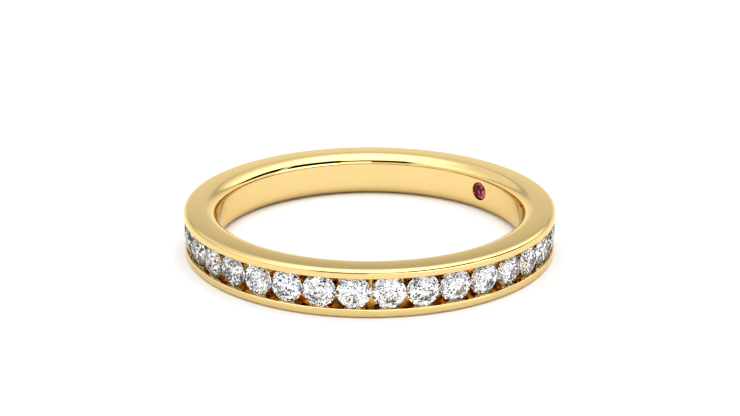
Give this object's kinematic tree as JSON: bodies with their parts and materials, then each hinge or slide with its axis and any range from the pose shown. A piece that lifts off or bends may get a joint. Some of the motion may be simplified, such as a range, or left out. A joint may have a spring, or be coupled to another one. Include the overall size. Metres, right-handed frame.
{
  "type": "wedding ring",
  "caption": "Polished yellow gold wedding band on its side, with round brilliants channel set across the front half and a small red stone set flush in the bore.",
  "frame": {"origin": "on the ring's axis, level with the side that it lies on", "axes": "+Z along the ring's axis, up from that side; -Y towards the middle of the row of stones; +X to the right as seen from the front"},
  "size_m": [0.0204, 0.0205, 0.0026],
  "materials": {
    "gold": "mirror polished 18 ct yellow gold",
    "diamond": "cut and polished colourless diamond",
    "ruby": "cut and polished red ruby"
  },
  "bodies": {
    "root": {"band": "gold", "stone_01": "diamond", "stone_02": "diamond", "stone_03": "diamond", "stone_04": "diamond", "stone_05": "diamond", "stone_06": "diamond", "stone_07": "diamond", "stone_08": "diamond", "stone_09": "diamond", "stone_10": "diamond", "stone_11": "diamond", "stone_12": "diamond", "stone_13": "diamond", "stone_14": "diamond", "stone_15": "diamond", "stone_16": "diamond", "stone_17": "diamond", "stone_18": "diamond", "ruby": "ruby"}
  },
  "joints": []
}
